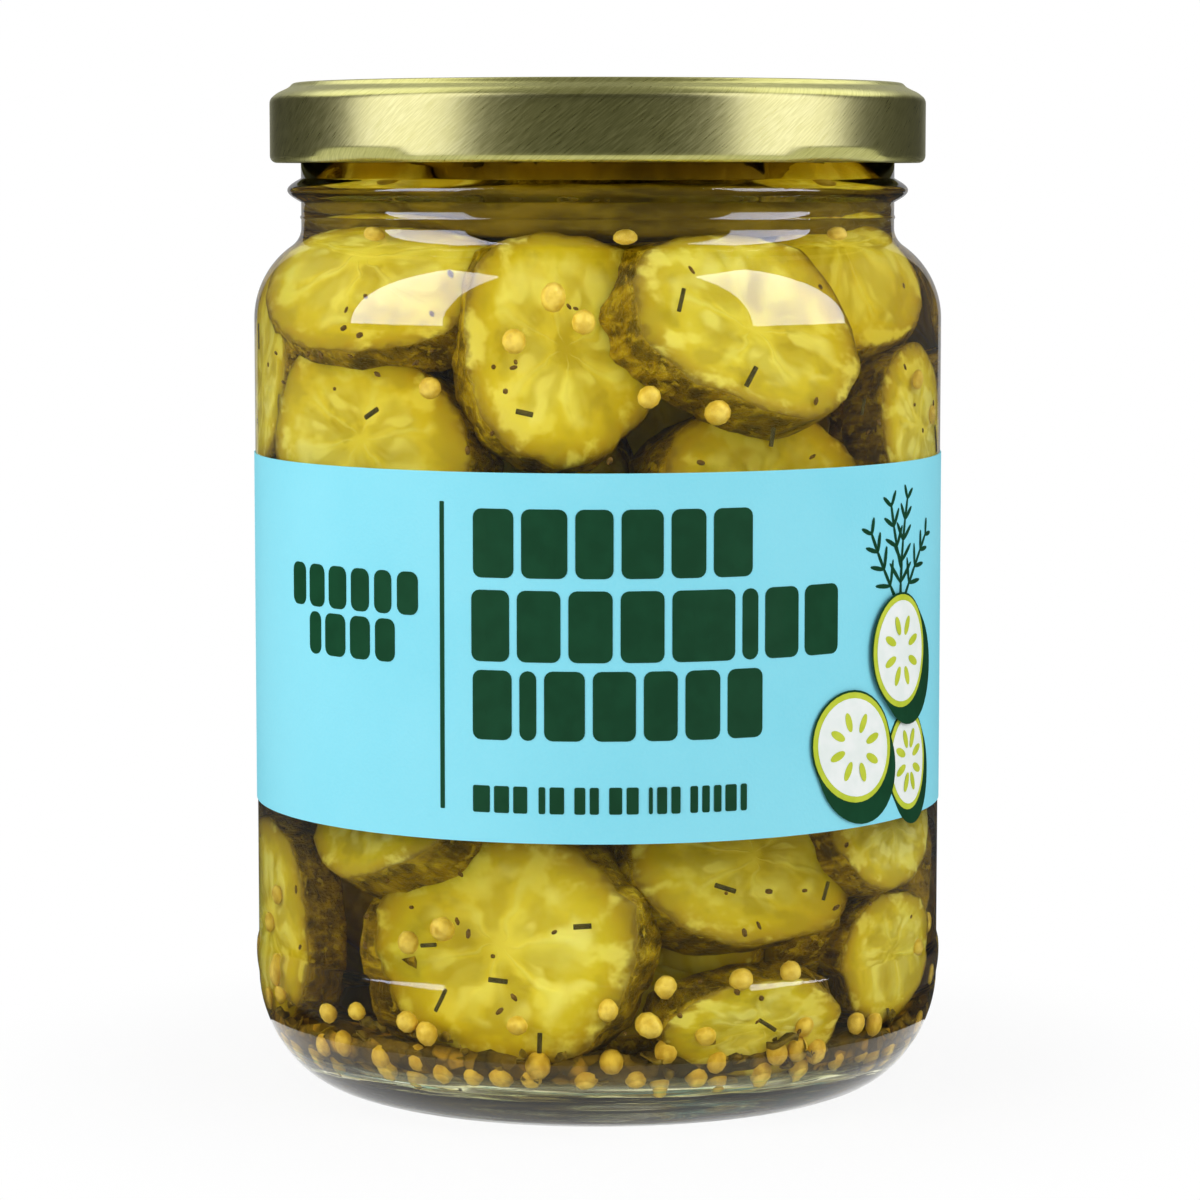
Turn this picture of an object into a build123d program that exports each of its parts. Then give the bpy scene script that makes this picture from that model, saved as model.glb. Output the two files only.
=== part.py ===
from build123d import *
from math import atan2, cos, degrees, radians, sin
import os

# A wide-mouth glass jar of sliced pickles with a twist-off steel lid and a wrap-round paper label.
# Four pieces: the glass jar, the pressed lid on its finish, the brine inside and the label outside.
# All of them are turned about the Z axis. The jar stands on z = 0, and the label's front faces -Y.

# ---- jar, outside (mm) ----
body_r = 42.0            # radius of the straight wall
swell_out = 0.3          # how far the heel swells past the straight wall
swell_h = 5.0            # height of that swelling
heel_h = 13.0            # height of the heel's curve
heel_handle = 0.485      # length of its end handles, as a share of its width and height
foot_r = 32.5            # outer edge of the ring that the jar stands on
foot_w = 2.0             # width of that ring
pushup_h = 2.2           # rise of the underside at the centre
shoulder_down = 28.1     # from the rim down to the top of the straight wall
shoulder_r = 10.8        # radius of the shoulder's outward curve
neck_r = 36.2            # radius of the neck
neck_fillet = 2.7        # hollow curve from the shoulder into the neck
bead_down = 12.5         # from the rim down to the middle of the transfer bead
bead_h = 2.9             # height of the bead
bead_out = 1.67          # how far it stands out from the neck
rim_z = 121.6            # top of the glass
rim_round = 1.2          # rounding of the rim

# ---- jar, inside ----
wall = 2.4               # thickness of the straight wall
lip = 2.7                # thickness of the neck
inner_fillet = 4.0       # hollow curve from the inner shoulder into the mouth
floor_z = 5.0            # height of the floor at its edge
floor_rise = 1.0         # how much higher its centre is
inner_heel_r = 9.0       # curve from the floor into the wall

# ---- threads of the glass and lugs of the lid ----
lug_count = 4
lug_first = 45.0         # angle of the first lug from +X, degrees
lug_arc = 24.0           # width of a lug, degrees
lug_h = 1.3              # height of a lug's tip
lug_clear = 0.35         # gap between the tip and the neck
land_arc = 58.0          # length of a thread land, degrees
land_gap = 0.15          # gap between a lug and the land that holds it
land_h = 1.6             # height of a land
land_out = 1.5           # how far it stands out from the neck
land_slope = 0.4         # how much lower the outer edge of its top is

# ---- lid ----
sheet = 0.35             # thickness of the steel
skirt_clear = 1.9        # room between the lands and the inside of the skirt
foot_clear = 1.85        # gap between the transfer bead and the foot of the lid
curl_r = 0.85            # outer radius of the curl at the skirt's foot
curl_end = 0.6           # straight run at the curl's inner end
seat_gap = 0.1           # gap between the rim and the channel above it
channel_margin = 0.9     # how far the channel reaches past the outside of the neck
step_down = 1.55         # how far the skirt's top edge lies below the lid's top
step_rise = 0.9          # how much the step rises from there to the channel
panel_down = 1.2         # how far the centre panel lies below the top
panel_clear = 0.55       # gap between the sunk panel and the mouth
press_r = 0.5            # rounding of the pressed corners
button_r = 12.5          # radius of the safety button
button_h = 0.7           # its rise
dent_h = 1.5             # height of the slanting face pressed under each lug

# ---- label and contents ----
label_z = 34.85          # lower edge of the label
label_down = 16.2        # from the top of the straight wall down to its upper edge
glue = 0.02              # glue line under the label
paper = 0.12             # thickness of the paper
lap_w = 8.0              # how far the label's two ends overlap, at the back
fill_down = 8.6          # from the rim down to the level of the brine
fill_gap = 0.05          # clearance between the brine and the glass

mouth_r = neck_r - lip
shoulder_z = rim_z - shoulder_down
bead_z = rim_z - bead_down
fill_z = rim_z - fill_down
lid_top = rim_z + seat_gap + sheet
lid_foot = bead_z + bead_h / 2 + foot_clear
lug_z = lid_foot + sheet
land_z = lug_z + lug_h + land_gap
skirt_r = neck_r + land_out + skirt_clear + sheet


def turned(*edges):
    """A solid of revolution about Z, from edges that close an outline in the XZ plane."""
    return revolve(Plane.XZ * make_face(Curve() + list(edges)), Axis.Z)


def sector(corners, start, arc):
    """The ring segment that a polygon in the XZ plane sweeps over arc degrees from start."""
    polygon = Plane.XZ * make_face(Polyline(*corners, close=True))
    return Rot(0, 0, start) * revolve(polygon, Axis.Z, arc)


def bulge(r, low_z, height, out):
    """An arc that swells by out from a wall of radius r."""
    return ThreePointArc((r, low_z), (r + out, low_z + height / 2), (r, low_z + height))


def shoulder(wall_r, big_r, throat_r, small_r):
    """Two tangent arcs from the wall in to a throat, the first outward and the next hollow,
    with the height where the throat begins."""
    across = throat_r + small_r - wall_r + big_r
    rise = ((big_r + small_r) ** 2 - across**2) ** 0.5
    turn = degrees(atan2(rise, across))
    throat_z = shoulder_z + rise
    outward = CenterArc((wall_r - big_r, shoulder_z), big_r, 0, turn)
    hollow = CenterArc((throat_r + small_r, throat_z), small_r, 180 + turn, -turn)
    return [outward, hollow], throat_z


def inside(gap, top_z):
    """The jar's inner outline from the middle of the floor up to top_z, gap clear of the glass."""
    wall_r = body_r - wall - gap
    throat_r = mouth_r - gap
    heel_r = inner_heel_r - gap
    heel_z = floor_z + inner_heel_r
    floor_edge = (wall_r - heel_r, floor_z + gap)
    curves, throat_z = shoulder(wall_r, shoulder_r - wall - gap, throat_r, inner_fillet + gap)
    return [
        TangentArc((0, floor_z + gap + floor_rise), floor_edge, tangent=(1, 0)),
        CenterArc((wall_r - heel_r, heel_z), heel_r, -90, 90),
        Line((wall_r, heel_z), (wall_r, shoulder_z)),
        *curves,
        Line((throat_r, throat_z), (throat_r, top_z)),
    ]


def outside():
    """The jar's outer outline from the middle of the underside up to the rounding of the rim."""
    run = body_r - foot_r
    swell_z = heel_h + swell_h
    curves, throat_z = shoulder(body_r, shoulder_r, neck_r, neck_fillet)
    bead_foot = bead_z - bead_h / 2
    return [
        TangentArc((0, pushup_h), (foot_r - foot_w, 0), tangent=(1, 0)),
        Line((foot_r - foot_w, 0), (foot_r, 0)),
        Bezier(
            (foot_r, 0),
            (foot_r + heel_handle * run, 0),
            (body_r, heel_h - heel_handle * heel_h),
            (body_r, heel_h),
        ),
        bulge(body_r, heel_h, swell_h, swell_out),
        Line((body_r, swell_z), (body_r, shoulder_z)),
        *curves,
        Line((neck_r, throat_z), (neck_r, bead_foot)),
        bulge(neck_r, bead_foot, bead_h, bead_out),
        Line((neck_r, bead_foot + bead_h), (neck_r, rim_z - rim_round)),
    ]


def thread_land(angle):
    """One of the raised threads of the glass, which a lug of the lid hooks under."""
    root = neck_r - lip / 2
    tip = neck_r + land_out
    corners = [
        (root, land_z),
        (tip, land_z),
        (tip, land_z + land_h - land_slope),
        (neck_r, land_z + land_h),
        (root, land_z + land_h),
    ]
    return sector(corners, angle - land_arc / 2, land_arc)


def glass_jar():
    """Heel, wall, shoulder, neck with its transfer bead and threads, and an open mouth."""
    outer_round = CenterArc((neck_r - rim_round, rim_z - rim_round), rim_round, 0, 90)
    inner_round = CenterArc((mouth_r + rim_round, rim_z - rim_round), rim_round, 90, 90)
    jar = turned(
        *outside(),
        outer_round,
        Line((neck_r - rim_round, rim_z), (mouth_r + rim_round, rim_z)),
        inner_round,
        *inside(0, rim_z - rim_round),
        Line((0, pushup_h), (0, floor_z + floor_rise)),
    )
    for angle in lug_angles:
        jar += thread_land(angle)
    return jar


def lid_sheet():
    """The pressed steel: sunk panel with its button, channel over the rim, step, skirt and curl."""
    panel_z = lid_top - panel_down
    panel_r = mouth_r - panel_clear
    channel_r = neck_r + channel_margin
    step_z = lid_top - step_down
    curl_z = lid_foot + curl_r
    hook_r = skirt_r - 2 * curl_r
    button = TangentArc((0, panel_z + button_h), (button_r, panel_z), tangent=(1, 0))
    pressing = FilletPolyline(
        (button_r, panel_z),
        (panel_r - press_r, panel_z),
        (panel_r + press_r / 2, lid_top),
        (channel_r, lid_top),
        (channel_r + press_r, step_z + step_rise),
        (skirt_r - press_r / 2, step_z),
        (skirt_r, curl_z),
        radius=press_r,
    )
    curl = CenterArc((skirt_r - curl_r, curl_z), curl_r, 0, -180)
    hook = Line((hook_r, curl_z), (hook_r, curl_z + curl_end))
    outer = button + pressing + curl + hook
    return revolve(Plane.XZ * make_face(offset(outer, sheet, side=Side.RIGHT)), Axis.Z)


def lug(angle):
    """A stretch of the curl pressed inwards until its tip hooks under a thread land."""
    tip = neck_r + lug_clear
    back = skirt_r - sheet / 2
    web = neck_r + land_out + lug_clear
    web_z = lid_foot + dent_h + 2 * sheet
    tip_z = lug_z + lug_h
    corners = [(tip, lug_z), (back, lug_z), (back, web_z), (web, web_z), (web, tip_z), (tip, tip_z)]
    return sector(corners, angle - lug_arc / 2, lug_arc)


def dent(angle):
    """What the press takes off the skirt's foot: all that lies outside a slanting plane, which
    starts dent_h up the skirt and meets the skirt's foot at the two ends of the lug."""
    sagitta = skirt_r * (1 - cos(radians(lug_arc / 2)))
    slant = degrees(atan2(sagitta, dent_h))
    size = 4 * dent_h
    reach = 2 * skirt_r * sin(radians(lug_arc / 2))
    block = Rot(0, slant, 0) * Pos(size / 2, 0, 0) * Box(size, reach, 2 * size)
    return Rot(0, 0, angle) * Pos(skirt_r, 0, lid_foot + dent_h) * block


def lid():
    """The steel lid, with four lugs pressed in at its foot."""
    shell = lid_sheet()
    for angle in lug_angles:
        shell += lug(angle)
    for angle in lug_angles:
        shell -= dent(angle)
    return shell


def label():
    """The paper label, glued all round the wall with its ends overlapping at the back."""
    inner = body_r + glue
    outer = inner + paper
    top = shoulder_z - label_down
    band = sector([(inner, label_z), (outer, label_z), (outer, top), (inner, top)], 0, 360)
    lap_arc = degrees(lap_w / body_r)
    flap = [(outer, label_z), (outer + paper, label_z), (outer + paper, top), (outer, top)]
    return band + sector(flap, 90 - lap_arc / 2, lap_arc)


def brine():
    """The liquid, which fills the jar to just below the lid."""
    return turned(
        *inside(fill_gap, fill_z),
        Line((mouth_r - fill_gap, fill_z), (0, fill_z)),
        Line((0, fill_z), (0, floor_z + fill_gap + floor_rise)),
    )


lug_angles = [lug_first + i * 360 / lug_count for i in range(lug_count)]

os.makedirs("parts", exist_ok=True)
pieces = {"glass_jar": glass_jar(), "lid": lid(), "label": label(), "brine": brine()}
for node, piece in pieces.items():
    piece.label = node
    export_step(piece, f"parts/{node}.step")
    print(node, round(piece.volume), "mm3, valid" if piece.is_valid else "mm3, not valid")
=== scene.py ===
# %% [markdown]
# # A jar of sliced pickles
# A glass jar full of sliced cucumber in yellow brine, closed by a pressed steel lid and wrapped in
# a paper label. The engineering model gives four plain solids: the jar, the lid, the label and the
# brine. They are loaded first, as a frame, and everything here is built around them in metres.

# %% Load the frame
import random
from math import atan2, cos, hypot, pi, radians, sin

import bpy
from mathutils import Matrix, Vector, noise
from mathutils.bvhtree import BVHTree


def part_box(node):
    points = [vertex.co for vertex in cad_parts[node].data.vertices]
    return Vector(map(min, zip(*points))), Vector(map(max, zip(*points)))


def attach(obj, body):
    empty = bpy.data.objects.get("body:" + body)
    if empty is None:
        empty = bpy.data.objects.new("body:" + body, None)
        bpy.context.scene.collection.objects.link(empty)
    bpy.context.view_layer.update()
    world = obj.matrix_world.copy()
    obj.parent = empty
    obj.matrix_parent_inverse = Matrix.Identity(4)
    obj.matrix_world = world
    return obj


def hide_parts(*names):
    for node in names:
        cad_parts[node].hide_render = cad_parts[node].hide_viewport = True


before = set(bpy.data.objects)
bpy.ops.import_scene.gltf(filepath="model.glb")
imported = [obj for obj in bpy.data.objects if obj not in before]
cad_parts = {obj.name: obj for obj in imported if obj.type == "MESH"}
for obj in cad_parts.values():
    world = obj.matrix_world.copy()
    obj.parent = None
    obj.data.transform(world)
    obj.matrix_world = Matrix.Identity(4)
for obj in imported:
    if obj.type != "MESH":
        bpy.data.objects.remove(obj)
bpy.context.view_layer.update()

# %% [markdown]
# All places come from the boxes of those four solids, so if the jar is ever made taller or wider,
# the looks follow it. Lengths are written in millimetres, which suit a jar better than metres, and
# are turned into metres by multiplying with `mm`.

mm = 0.001


def box_mm(node):
    """The lowest and highest corner of a node, in millimetres."""
    low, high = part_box(node)
    return Vector(low) / mm, Vector(high) / mm


_, jar_high = box_mm("glass_jar")
lid_low, lid_high = box_mm("lid")
label_low, label_high = box_mm("label")
_, brine_high = box_mm("brine")

rim_z = jar_high.z
swell_out = 0.3                        # the heel stands out this far past the straight wall
body_r = jar_high.x - swell_out        # outside of the straight wall
fill_gap = 0.05                        # the plain brine stops this short of the glass
inner_r = brine_high.x + fill_gap      # inside of the straight wall
fill_z = brine_high.z                  # level of the brine
print(f"jar {2 * body_r:.1f} mm across, {rim_z:.1f} mm to the rim, wall {body_r - inner_r:.1f} mm")

# %% [markdown]
# Before modelling, some small helpers. An operator works on whatever is selected, so each step
# starts with nothing selected, and edit mode is entered and left in one place.

# %% Helpers for selecting and editing


def only(*objects):
    """Selects just these objects, the first one active."""
    bpy.ops.object.select_all(action="DESELECT")
    for obj in objects:
        obj.select_set(True)
    bpy.context.view_layer.objects.active = objects[0] if objects else None


def edit(obj, mode="VERT"):
    """Enters edit mode on one object with all of it selected."""
    only(obj)
    bpy.ops.object.mode_set(mode="EDIT")
    bpy.ops.mesh.select_mode(type=mode)
    every_part()


def every_part():
    """Selects all of the open mesh."""
    bpy.ops.mesh.select_all(action="SELECT")


def leave():
    """Back to object mode."""
    bpy.ops.object.mode_set(mode="OBJECT")


def named(name):
    """Names the object that an operator has just made, and its mesh."""
    obj = bpy.context.object
    obj.name = obj.data.name = name
    return obj


def fresh(name, add, **settings):
    """Makes a new object with one of the operators that add things, and names it."""
    bpy.ops.object.select_all(action="DESELECT")
    add(**settings)
    return named(name)


def vertex(name, place):
    """A mesh of one vertex, left open. A place is in metres."""
    obj = fresh(name, bpy.ops.mesh.primitive_plane_add, size=mm)
    edit(obj)
    bpy.ops.mesh.merge(type="CENTER")
    bpy.ops.transform.translate(value=place)
    return obj


def thicken(obj, thickness):
    """Gives a sheet a thickness in millimetres."""
    only(obj)
    bpy.ops.object.modifier_add(type="SOLIDIFY")
    bpy.context.object.modifiers["Solidify"].thickness = thickness * mm
    bpy.ops.object.modifier_apply(modifier="Solidify")


def crease(obj):
    """Shades a piece smooth but for its sharp corners."""
    only(obj)
    bpy.ops.object.shade_smooth_by_angle(angle=radians(40))


def join(name, pieces):
    """Joins finished pieces into one."""
    only(*pieces)
    bpy.ops.object.join()
    return named(name)


# %% [markdown]
# Nearly everything on a jar is round, and the natural way to make a round thing is a lathe: half of
# its outline is drawn beside the axis and spun about it. By hand you would start from a single
# vertex, extrude it from corner to corner, and use Spin. The helper does just that. Where the
# outline touches the axis, the spin leaves a ring of doubles in one spot, and merging them closes
# the pole.

# %% The lathe
def lathe(name, outline, steps):
    """Spins an outline of (radius, height) points in millimetres about Z."""
    points = [Vector((r, 0, z)) * mm for r, z in outline]
    same_spot = 1e-7
    obj = vertex(name, points[0])
    for here, there in zip(points, points[1:]):
        bpy.ops.mesh.extrude_region_move(TRANSFORM_OT_translate={"value": there - here})
    every_part()
    bpy.ops.mesh.remove_doubles(threshold=same_spot)
    bpy.ops.mesh.spin(steps=steps, angle=2 * pi, center=(0, 0, 0), axis=(0, 0, 1))
    every_part()
    bpy.ops.mesh.remove_doubles(threshold=same_spot)
    bpy.ops.mesh.normals_make_consistent(inside=False)
    leave()
    bpy.ops.object.shade_smooth()
    return obj


def arc(centre, radius, start, end, count):
    """Points on an arc, from one angle to another in degrees, both ends included."""
    angles = [radians(start + (end - start) * i / count) for i in range(count + 1)]
    return [(centre[0] + radius * cos(a), centre[1] + radius * sin(a)) for a in angles]


def line(start, end, count):
    """Points on a straight run, both ends included."""
    run = [b - a for a, b in zip(start, end)]
    return [tuple(a + r * i / count for a, r in zip(start, run)) for i in range(count + 1)]


def bezier(a, b, c, d, count):
    """Points on the curve from a to d with the handles b and c."""
    points = []
    for i in range(count + 1):
        t = i / count
        u = 1 - t
        weights = (u**3, 3 * u * u * t, 3 * u * t * t, t**3)
        points.append(tuple(sum(w * p[k] for w, p in zip(weights, (a, b, c, d))) for k in (0, 1)))
    return points


# %% [markdown]
# ## The outlines of the jar
# The glass has an outer and an inner outline. Outside there are the ring it stands on, the long
# curve of the heel with a slight swell, the straight wall, the shoulder, the neck with the thin
# ridge where the halves of the mould met, and the transfer bead under the lid. Inside it is
# plainer: floor, heel, wall, shoulder and mouth. Both shoulders are two arcs that touch, one
# outward and one hollow, so a small function works out where the second one starts.

# %% Outlines of the glass
foot_r, foot_w, pushup_h = 32.5, 2.0, 2.2
heel_h, heel_handle, swell_h = 13.0, 0.485, 5.0
shoulder_z = rim_z - 28.1
shoulder_r, throat_r = 10.8, 2.7       # the arcs of the shoulder, outward and hollow
inner_throat_r = 4.0
neck_r, mouth_r = 36.2, 33.5
bead_z, bead_h, bead_out = rim_z - 12.5, 2.9, 1.67
ridge_up, ridge_h, ridge_out = 1.0, 0.5, 0.13     # the mould's ridge, above the foot of the neck
rim_round = 1.2
floor_z, floor_rise, inner_heel_r = 5.0, 1.0, 9.0


def shoulder(wall_r, big_r, opening_r, small_r):
    """The two arcs from a wall in to an opening."""
    across = opening_r + small_r - wall_r + big_r
    rise = ((big_r + small_r) ** 2 - across**2) ** 0.5
    turn = atan2(rise, across) * 180 / pi
    throat_z = shoulder_z + rise
    outward = arc((wall_r - big_r, shoulder_z), big_r, 0, turn, 18)
    hollow = arc((opening_r + small_r, throat_z), small_r, 180 + turn, 180, 8)
    return outward + hollow[1:]


def bulge(r, foot_z, height, out, count):
    """A smooth swelling of a wall."""
    return [(r + out * sin(pi * i / count), foot_z + height * i / count) for i in range(count + 1)]


swell = (                              # how far out, and how far up, as shares of the swell
    (0.4, 0.14), (0.73, 0.28), (0.93, 0.44), (1.0, 0.6), (0.95, 0.7), (0.78, 0.8), (0.45, 0.88),
    (0.12, 0.96), (0.0, 1.0),
)


def outside():
    """The outer outline, from the middle of the underside up to the rim."""
    run = body_r - foot_r
    foot = foot_r - foot_w
    points = [(foot * i / 6, pushup_h * (1 - (i / 6) ** 2)) for i in range(7)]
    points += bezier(
        (foot_r, 0), (foot_r + heel_handle * run, 0),
        (body_r, heel_h * (1 - heel_handle)), (body_r, heel_h), 18,
    )
    points += [(body_r + swell_out * share, heel_h + swell_h * up) for share, up in swell]
    points += line((body_r, heel_h + swell_h), (body_r, shoulder_z), 12)[1:]
    points += shoulder(body_r, shoulder_r, neck_r, throat_r)[1:]
    ridge_z = points[-1][1] + ridge_up
    points += bulge(neck_r, ridge_z, ridge_h, ridge_out, 4)
    points += bulge(neck_r, bead_z - bead_h / 2, bead_h, bead_out, 14)
    points += arc((neck_r - rim_round, rim_z - rim_round), rim_round, 0, 90, 6)
    return points


def inside(gap):
    """The inner outline from the middle of the floor to the mouth, gap clear of the glass."""
    wall_r = inner_r - gap
    heel_r = inner_heel_r - gap
    centre = (wall_r - heel_r, floor_z + inner_heel_r)
    floor = [(centre[0] * i / 8, floor_z + gap + floor_rise * (1 - (i / 8) ** 2)) for i in range(8)]
    points = floor + arc(centre, heel_r, -90, 0, 14)
    points += line((wall_r, centre[1]), (wall_r, shoulder_z), 12)[1:]
    big_r = shoulder_r - body_r + wall_r
    return points + shoulder(wall_r, big_r, mouth_r - gap, inner_throat_r + gap)[1:]


cavity = inside(0)


def room(z):
    """Radius of the cavity at a height, read off the inner outline."""
    for (r, low), (r_next, high) in zip(cavity, cavity[1:]):
        if low <= z <= high and high > low:
            return r + (r_next - r) * (z - low) / (high - low)
    return cavity[-1][0] if z > cavity[-1][1] else 0.0


print(f"cavity {cavity[-1][0]:.1f} mm at the mouth, {room(60):.1f} mm in the middle")

# %% [markdown]
# ## Glass and brine
# The jar is one closed skin, outside and inside, because glass needs two faces to bend light as
# the real wall does. The brine is a second skin that reaches a tenth of a millimetre into the wall,
# since a gap there, however thin, would show as a silver film of air. Its top climbs a little where
# it meets the glass, as water does.

# %% Spin the glass and the brine
round_steps = 144
rim_inside = arc((mouth_r + rim_round, rim_z - rim_round), rim_round, 90, 180, 6)
glass = lathe("jar_glass", outside() + rim_inside + cavity[::-1], round_steps)

bite = 0.12                            # how far the brine reaches into the glass
climb, climb_w = 0.9, 2.2              # height and width of the liquid's climb at the wall
wet = [p for p in inside(-bite) if p[1] < fill_z]
shares = [i / 6 for i in range(7)]
surface = [(mouth_r + bite - climb_w * t, fill_z + climb * (1 - t) ** 3) for t in shares]
brine = lathe("brine_fill", wet + surface + [(0, fill_z)], round_steps)
print(len(glass.data.polygons), "faces of glass,", len(brine.data.polygons), "of brine")

# %% [markdown]
# ## Cucumber slices
# Every slice starts from one blank: a flat cylinder of radius 1 and thickness 1. Its two ends are
# inset several times, so that a face can be wavy, and its side is cut into bands for the warts of
# the rind. Modelling it once and copying it keeps the work small, and each copy is then given its
# own outline, size and place by moving its vertices, which no modifier could do one by one. Its
# UV map, `across`, is the blank seen from above.

# %% Model the blank of a slice


def pick(obj, kind, test):
    """In edit mode, selects the faces or edges that pass a test."""
    bpy.ops.mesh.select_mode(type={"polygons": "FACE", "edges": "EDGE"}[kind])
    bpy.ops.mesh.select_all(action="DESELECT")
    leave()
    for item in getattr(obj.data, kind):
        item.select = test(item)
    bpy.ops.object.mode_set(mode="EDIT")


def slice_blank(name, sides, insets, bands):
    """A disc of radius 1 and thickness 1 on Z, with its UV map."""
    obj = fresh(name, bpy.ops.mesh.primitive_cylinder_add, vertices=sides, radius=1, depth=1)
    edit(obj, "FACE")

    def upright(edge):
        a, b = (obj.data.vertices[i].co for i in edge.vertices)
        return abs(a.z - b.z) > 0.5

    pick(obj, "edges", upright)
    bpy.ops.mesh.subdivide(number_cuts=bands - 1)
    pick(obj, "polygons", lambda face: abs(face.normal.z) > 0.5)
    for inset in insets:
        bpy.ops.mesh.inset(thickness=inset)
    bpy.ops.mesh.poke()
    leave()
    mesh = obj.data
    across = mesh.uv_layers.new(name="across").data
    for face in mesh.polygons:
        for i in face.loop_indices:
            co = mesh.vertices[mesh.loops[i].vertex_index].co
            across[i].uv = (co.x, co.y)
    while len(mesh.uv_layers) > 1:
        mesh.uv_layers.remove(next(layer for layer in mesh.uv_layers if layer.name != "across"))
    only(obj)
    bpy.ops.object.shade_smooth()
    return obj


fine_blank = slice_blank("slice_blank", 72, (0.03, 0.07, 0.12, 0.18, 0.2, 0.2), 5)
plain_blank = slice_blank("slice_blank_plain", 26, (0.08, 0.42), 2)
print(len(fine_blank.data.polygons), "and", len(plain_blank.data.polygons), "faces a slice")

# %% [markdown]
# A slice's place is written as on a map of the jar's wall: the angle round from the front, and the
# height. `turn` swings its face sideways, `nod` tips it up, `roll` spins it in its own plane. It is
# first set right at the wall, and then pushed towards the middle until all of it fits inside the
# glass, which is how slices really settle: each one touches the wall with some part of its edge.
# After that it may slide a few steps further in, to where it cuts the fewest faces of the others.

# %% Set a slice in the jar
rng = random.Random(7)
settled = []
off_floor, off_ceiling, off_glass = 0.5, 0.8, 0.25      # kept clear by every slice
push, push_limit, slide = 0.3, 45, 0.6


def ripple(x, y, z):
    """Smooth noise, about -1 to 1."""
    return noise.noise(Vector((x, y, z)))


def clash(points, faces, others):
    """How many faces of a mesh cut through the slices set before it."""
    tree = BVHTree.FromPolygons(points, faces)
    return sum(len(tree.overlap(other)) for other in others)


def shaped(blank, size, roll, seed):
    """The vertices of a blank as (along its width, along its height, out of its face)."""
    wide, tall, thick = size
    lobes = [rng.uniform(0, 2 * pi) for _ in range(4)]
    saddle = rng.uniform(-0.004, 0.004)
    for v in blank.data.vertices:
        x, y, h = v.co
        share, a = hypot(x, y), atan2(y, x)
        lobe = 1 + 0.035 * cos(2 * a + lobes[0]) + 0.03 * cos(3 * a + lobes[1])
        lobe += 0.015 * cos(5 * a + lobes[2]) + 0.02 * ripple(2.2 * cos(a), 2.2 * sin(a), seed)
        x, y = x * lobe * wide / 2, y * lobe * tall / 2
        rind = max(0.0, (share - 0.9) / 0.1)
        wart = ripple(x * 0.36, y * 0.36, h + seed) + 0.5 * ripple(x * 0.8, y * 0.8, h * 2.5 + seed)
        x *= 1 + 0.05 * wart * rind
        y *= 1 + 0.05 * wart * rind
        lift = h * thick * (1 + 0.1 * share * cos(a + lobes[3])) * (1 - 0.1 * rind)
        lift += (0.5 * ripple(x / 7, y / 7, seed) + 0.2 * ripple(x / 2.5, y / 2.5, seed)) * h * 2
        lift += saddle * (x * x - y * y)
        x, y = x * cos(roll) - y * sin(roll), x * sin(roll) + y * cos(roll)
        yield x, y, lift - 0.45 * x * x / (2 * inner_r)


def set_slice(blank, place, size, pose, depth=0.0, reach=inner_r, slides=17, ceiling=fill_z):
    """Copies a blank, shapes it and sets it in the jar. Millimetres and degrees."""
    angle, height = radians(place[0]), place[1]
    turn, nod, roll = (radians(a) for a in pose)
    seed = rng.uniform(0, 100)
    out = Vector((sin(angle), -cos(angle), 0))
    side = Vector((cos(angle), sin(angle), 0))
    facing = (out * cos(turn) + side * sin(turn)) * cos(nod) + Vector((0, 0, sin(nod)))
    right = side * cos(turn) - out * sin(turn)
    up = facing.cross(right)
    points = [right * x + up * y + facing * lift for x, y, lift in shaped(blank, size, roll, seed)]
    base = out * reach + Vector((0, 0, height))
    base.z = max(base.z, floor_z + floor_rise + off_floor - min(p.z for p in points))
    base.z = min(base.z, ceiling - off_ceiling - max(p.z for p in points))
    pushed = 0.0
    while pushed < push_limit and any(
        hypot(p.x + base.x, p.y + base.y) > room(p.z + base.z) - off_glass for p in points
    ):
        pushed += push
        base -= out * push
    mesh = blank.data.copy()
    obj = bpy.data.objects.new("slice", mesh)
    bpy.context.scene.collection.objects.link(obj)
    faces = [tuple(face.vertices) for face in mesh.polygons]
    moves = [out * -(depth + slide * step) for step in range(slides)]
    base += min(moves, key=lambda move: clash([p + base + move for p in points], faces, settled))
    settled.append(BVHTree.FromPolygons([p + base for p in points], faces))
    for v, p in zip(mesh.vertices, points):
        v.co = (p + base) * mm
    rise = mesh.attributes.new("rise", "FLOAT", "POINT")
    rise.data.foreach_set("value", [v.co.z for v in blank.data.vertices])
    own = mesh.attributes.new("own", "FLOAT", "POINT")
    own.data.foreach_set("value", [seed / 100] * len(mesh.vertices))
    return obj
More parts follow.
